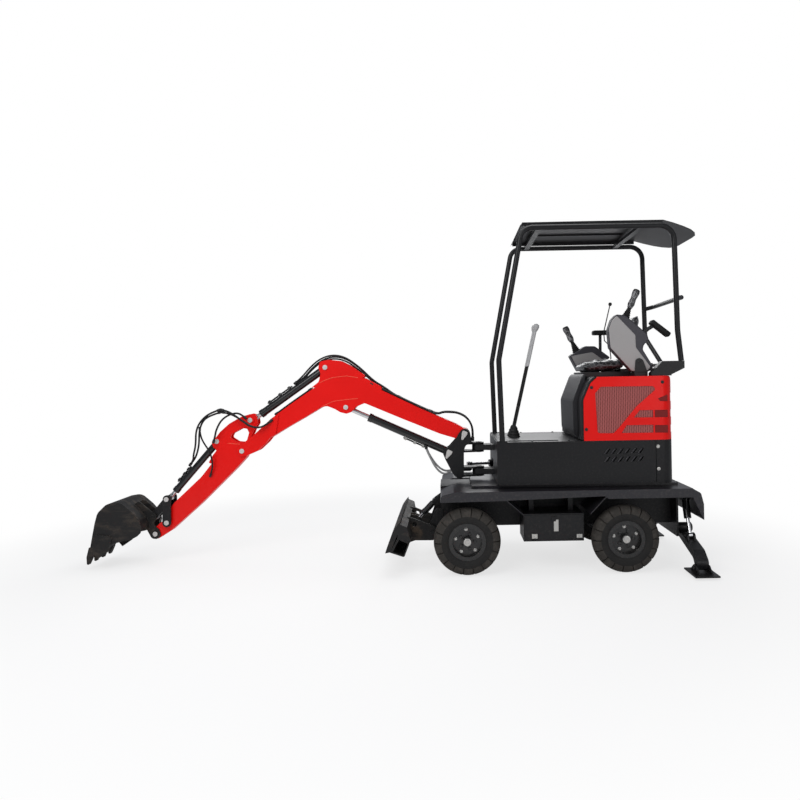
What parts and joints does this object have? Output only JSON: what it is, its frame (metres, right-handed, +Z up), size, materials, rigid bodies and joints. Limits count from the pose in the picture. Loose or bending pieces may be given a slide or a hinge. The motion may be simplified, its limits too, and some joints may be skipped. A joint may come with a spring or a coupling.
{
  "type": "wheeled excavator",
  "caption": "Compact wheeled excavator with an open canopy, slewing upper body, swing-post boom, bucket, dozer blade and rear outriggers.",
  "frame": {"origin": "on the ground under the middle of the overall box", "axes": "+X towards the rear of the machine, -X towards the boom and blade, +Z up, -Y its near side in the picture"},
  "size_m": [5.1608, 1.68, 2.818],
  "materials": {
    "black_cast": "satin",
    "black_paint": "satin",
    "chrome": "polished",
    "console_plastic": "matte",
    "deck_paint": "satin",
    "engine_metal": "matte",
    "lever_plastic": "satin",
    "mesh_grille": "matte",
    "moulded_plastic": "matte",
    "red_paint": "gloss",
    "rim_paint": "satin",
    "rubber": "matte",
    "seat_cover": "satin",
    "tool_steel": "worn"
  },
  "bodies": {
    "chassis": {"chassis_frame": "black_paint", "slew_base": "deck_paint", "fenders": "deck_paint", "axles": "black_cast", "toolbox_left": "black_paint", "toolbox_right": "black_paint"},
    "toolbox_flap_left": {"toolbox_flap_left": "black_paint"},
    "toolbox_flap_right": {"toolbox_flap_right": "black_paint"},
    "knuckle_left": {"knuckle_left": "black_cast"},
    "knuckle_right": {"knuckle_right": "black_cast"},
    "steer_rod": {"steer_rod": "chrome"},
    "wheel_front_left": {"tyre_front_left": "rubber", "rim_front_left": "rim_paint"},
    "wheel_front_right": {"tyre_front_right": "rubber", "rim_front_right": "rim_paint"},
    "wheel_rear_left": {"tyre_rear_left": "rubber", "rim_rear_left": "rim_paint"},
    "wheel_rear_right": {"tyre_rear_right": "rubber", "rim_rear_right": "rim_paint"},
    "blade": {"blade": "black_paint"},
    "blade_barrel": {"blade_barrel": "black_paint"},
    "blade_rod": {"blade_rod": "chrome"},
    "outrigger_left": {"outrigger_left": "black_paint"},
    "outrigger_right": {"outrigger_right": "black_paint"},
    "outrigger_barrel_left": {"outrigger_barrel_left": "black_paint"},
    "outrigger_barrel_right": {"outrigger_barrel_right": "black_paint"},
    "outrigger_rod_left": {"outrigger_rod_left": "chrome"},
    "outrigger_rod_right": {"outrigger_rod_right": "chrome"},
    "upper": {"upper_frame": "black_paint", "side_panels": "black_paint", "counterweight": "black_cast", "floor": "black_paint", "cowl": "red_paint", "cowl_grilles": "mesh_grille", "seat_base": "moulded_plastic", "engine_block": "engine_metal", "seat": "seat_cover", "console_right": "console_plastic", "levers": "lever_plastic", "canopy": "black_paint", "roof": "black_paint"},
    "console_left": {"console_left": "console_plastic"},
    "swing_post": {"swing_post": "black_cast"},
    "swing_barrel": {"swing_barrel": "black_paint"},
    "swing_rod": {"swing_rod": "chrome"},
    "boom": {"boom": "red_paint"},
    "boom_barrel": {"boom_barrel": "black_paint"},
    "boom_rod": {"boom_rod": "chrome"},
    "arm": {"arm": "red_paint"},
    "arm_barrel": {"arm_barrel": "black_paint"},
    "arm_rod": {"arm_rod": "chrome"},
    "rocker": {"rocker": "black_paint"},
    "link": {"link": "black_paint"},
    "bucket": {"bucket": "tool_steel"},
    "bucket_barrel": {"bucket_barrel": "black_paint"},
    "bucket_rod": {"bucket_rod": "chrome"}
  },
  "joints": [
    {"name": "steer_left", "type": "hinge", "parent": "chassis", "child": "knuckle_left", "pos_m": [0.65844, -0.405, 0.27], "axis": [0, 0, 1], "range_deg": [-30, 30]},
    {"name": "spin_front_left", "type": "hinge", "parent": "knuckle_left", "child": "wheel_front_left", "pos_m": [0.65844, -0.545, 0.27], "axis": [0, 1, 0], "continuous": true},
    {"name": "spin_rear_left", "type": "hinge", "parent": "chassis", "child": "wheel_rear_left", "pos_m": [1.92844, -0.545, 0.27], "axis": [0, 1, 0], "continuous": true},
    {"name": "steer_right", "type": "hinge", "parent": "chassis", "child": "knuckle_right", "pos_m": [0.65844, 0.405, 0.27], "axis": [0, 0, 1], "range_deg": [-30, 30]},
    {"name": "spin_front_right", "type": "hinge", "parent": "knuckle_right", "child": "wheel_front_right", "pos_m": [0.65844, 0.545, 0.27], "axis": [0, 1, 0], "continuous": true},
    {"name": "spin_rear_right", "type": "hinge", "parent": "chassis", "child": "wheel_rear_right", "pos_m": [1.92844, 0.545, 0.27], "axis": [0, 1, 0], "continuous": true},
    {"name": "steer_slide", "type": "slide", "parent": "chassis", "child": "steer_rod", "axis": [0, 1, 0], "range_m": [-0.066, 0.066]},
    {"name": "blade_lift", "type": "hinge", "parent": "chassis", "child": "blade", "pos_m": [0.38144, 0, 0.273], "axis": [0, 1, 0], "range_deg": [-28, 12]},
    {"name": "blade_barrel_tilt", "type": "hinge", "parent": "chassis", "child": "blade_barrel", "pos_m": [0.38944, 0, 0.502], "axis": [0, 1, 0], "range_deg": [-7.07, 3.31]},
    {"name": "blade_rod_slide", "type": "slide", "parent": "blade_barrel", "child": "blade_rod", "axis": [-0.6925, 0, -0.7214], "range_m": [-0.033, 0.0742]},
    {"name": "outrigger_left_lift", "type": "hinge", "parent": "chassis", "child": "outrigger_left", "pos_m": [2.48544, -0.285, 0.294], "axis": [-1, 0, 0], "range_deg": [-2.7, 38]},
    {"name": "outrigger_left_barrel_tilt", "type": "hinge", "parent": "chassis", "child": "outrigger_barrel_left", "pos_m": [2.48544, -0.33, 0.556], "axis": [-1, 0, 0], "range_deg": [-1.09, 8.74]},
    {"name": "outrigger_left_rod_slide", "type": "slide", "parent": "outrigger_barrel_left", "child": "outrigger_rod_left", "axis": [0, -0.3779, -0.9258], "range_m": [-0.1056, 0.0094]},
    {"name": "outrigger_right_lift", "type": "hinge", "parent": "chassis", "child": "outrigger_right", "pos_m": [2.48544, 0.285, 0.294], "axis": [1, 0, 0], "range_deg": [-2.7, 38]},
    {"name": "outrigger_right_barrel_tilt", "type": "hinge", "parent": "chassis", "child": "outrigger_barrel_right", "pos_m": [2.48544, 0.33, 0.556], "axis": [1, 0, 0], "range_deg": [-1.09, 8.74]},
    {"name": "outrigger_right_rod_slide", "type": "slide", "parent": "outrigger_barrel_right", "child": "outrigger_rod_right", "axis": [0, 0.3779, -0.9258], "range_m": [-0.1056, 0.0094]},
    {"name": "flap_left", "type": "hinge", "parent": "chassis", "child": "toolbox_flap_left", "pos_m": [1.40544, -0.528, 0.264], "axis": [1, 0, 0], "range_deg": [0, 95]},
    {"name": "flap_right", "type": "hinge", "parent": "chassis", "child": "toolbox_flap_right", "pos_m": [1.40544, 0.528, 0.264], "axis": [-1, 0, 0], "range_deg": [0, 95]},
    {"name": "slew", "type": "hinge", "parent": "chassis", "child": "upper", "pos_m": [1.40544, 0, 0.694], "axis": [0, 0, 1], "continuous": true},
    {"name": "console_lift", "type": "hinge", "parent": "upper", "child": "console_left", "pos_m": [2.10544, 0, 1.69], "axis": [0, 1, 0], "range_deg": [-35, 0]},
    {"name": "boom_swing", "type": "hinge", "parent": "upper", "child": "swing_post", "pos_m": [0.78544, 0, 0.868], "axis": [0, 0, 1], "range_deg": [-40, 50]},
    {"name": "swing_barrel_turn", "type": "hinge", "parent": "upper", "child": "swing_barrel", "pos_m": [1.31544, 0.27, 0.806], "axis": [0, 0, 1], "range_deg": [-4.28, 5.23]},
    {"name": "swing_rod_slide", "type": "slide", "parent": "swing_barrel", "child": "swing_rod", "axis": [-0.9812, -0.193, 0], "range_m": [-0.108, 0.1345]},
    {"name": "boom_lift", "type": "hinge", "parent": "swing_post", "child": "boom", "pos_m": [0.66044, 0, 1.095], "axis": [0, 1, 0], "range_deg": [-25, 45]},
    {"name": "boom_barrel_tilt", "type": "hinge", "parent": "swing_post", "child": "boom_barrel", "pos_m": [0.52444, 0, 0.932], "axis": [0, 1, 0], "range_deg": [-25.92, 46.25]},
    {"name": "boom_rod_slide", "type": "slide", "parent": "boom_barrel", "child": "boom_rod", "axis": [-0.9102, 0, 0.4142], "range_m": [-0.0866, 0.1542]},
    {"name": "arm_fold", "type": "hinge", "parent": "boom", "child": "arm", "pos_m": [-1.28156, 0, 0.978], "axis": [0, -1, 0], "range_deg": [-5, 70]},
    {"name": "arm_barrel_tilt", "type": "hinge", "parent": "boom", "child": "arm_barrel", "pos_m": [-0.54656, 0, 1.695], "axis": [0, -1, 0], "range_deg": [-7.56, 1]},
    {"name": "arm_rod_slide", "type": "slide", "parent": "arm_barrel", "child": "arm_rod", "axis": [-0.8216, 0, -0.5701], "range_m": [-0.0234, 0.301]},
    {"name": "bucket_curl", "type": "hinge", "parent": "arm", "child": "bucket", "pos_m": [-2.05256, 0, 0.267], "axis": [0, -1, 0], "range_deg": [-5, 95]},
    {"name": "rocker_tilt", "type": "hinge", "parent": "arm", "child": "rocker", "pos_m": [-1.94756, 0, 0.365], "axis": [0, -1, 0], "range_deg": [-4.45, 75.55]},
    {"name": "link_tilt", "type": "hinge", "parent": "rocker", "child": "link", "pos_m": [-1.94456, 0, 0.57], "axis": [0, -1, 0], "range_deg": [-52.75, 3.25]},
    {"name": "bucket_barrel_tilt", "type": "hinge", "parent": "arm", "child": "bucket_barrel", "pos_m": [-1.50656, 0, 1.064], "axis": [0, -1, 0], "range_deg": [-5.25, 0.75]},
    {"name": "bucket_rod_slide", "type": "slide", "parent": "bucket_barrel", "child": "bucket_rod", "axis": [-0.6634, 0, -0.7482], "range_m": [-0.014, 0.23]}
  ],
  "couplings": [
    {"joint": "steer_right", "follows": "steer_left", "ratio": 1},
    {"joint": "steer_slide", "follows": "steer_left", "m_per_rad": 0.118},
    {"joint": "blade_barrel_tilt", "follows": "blade_lift", "ratio": 0.2345},
    {"joint": "blade_rod_slide", "follows": "blade_lift", "m_per_rad": -0.1478},
    {"joint": "outrigger_left_barrel_tilt", "follows": "outrigger_left_lift", "ratio": 0.2169},
    {"joint": "outrigger_left_rod_slide", "follows": "outrigger_left_lift", "m_per_rad": -0.1562},
    {"joint": "outrigger_right_barrel_tilt", "follows": "outrigger_right_lift", "ratio": 0.2169},
    {"joint": "outrigger_right_rod_slide", "follows": "outrigger_right_lift", "m_per_rad": -0.1562},
    {"joint": "swing_barrel_turn", "follows": "boom_swing", "ratio": 0.0946},
    {"joint": "swing_rod_slide", "follows": "boom_swing", "m_per_rad": 0.1518},
    {"joint": "boom_barrel_tilt", "follows": "boom_lift", "ratio": 1.0167},
    {"joint": "boom_rod_slide", "follows": "boom_lift", "m_per_rad": 0.1938},
    {"joint": "arm_barrel_tilt", "follows": "arm_fold", "ratio": -0.1008},
    {"joint": "arm_rod_slide", "follows": "arm_fold", "m_per_rad": 0.2447},
    {"joint": "rocker_tilt", "follows": "bucket_curl", "ratio": 0.79},
    {"joint": "link_tilt", "follows": "bucket_curl", "ratio": -0.55},
    {"joint": "bucket_barrel_tilt", "follows": "bucket_curl", "ratio": -0.05},
    {"joint": "bucket_rod_slide", "follows": "bucket_curl", "m_per_rad": 0.1375}
  ]
}
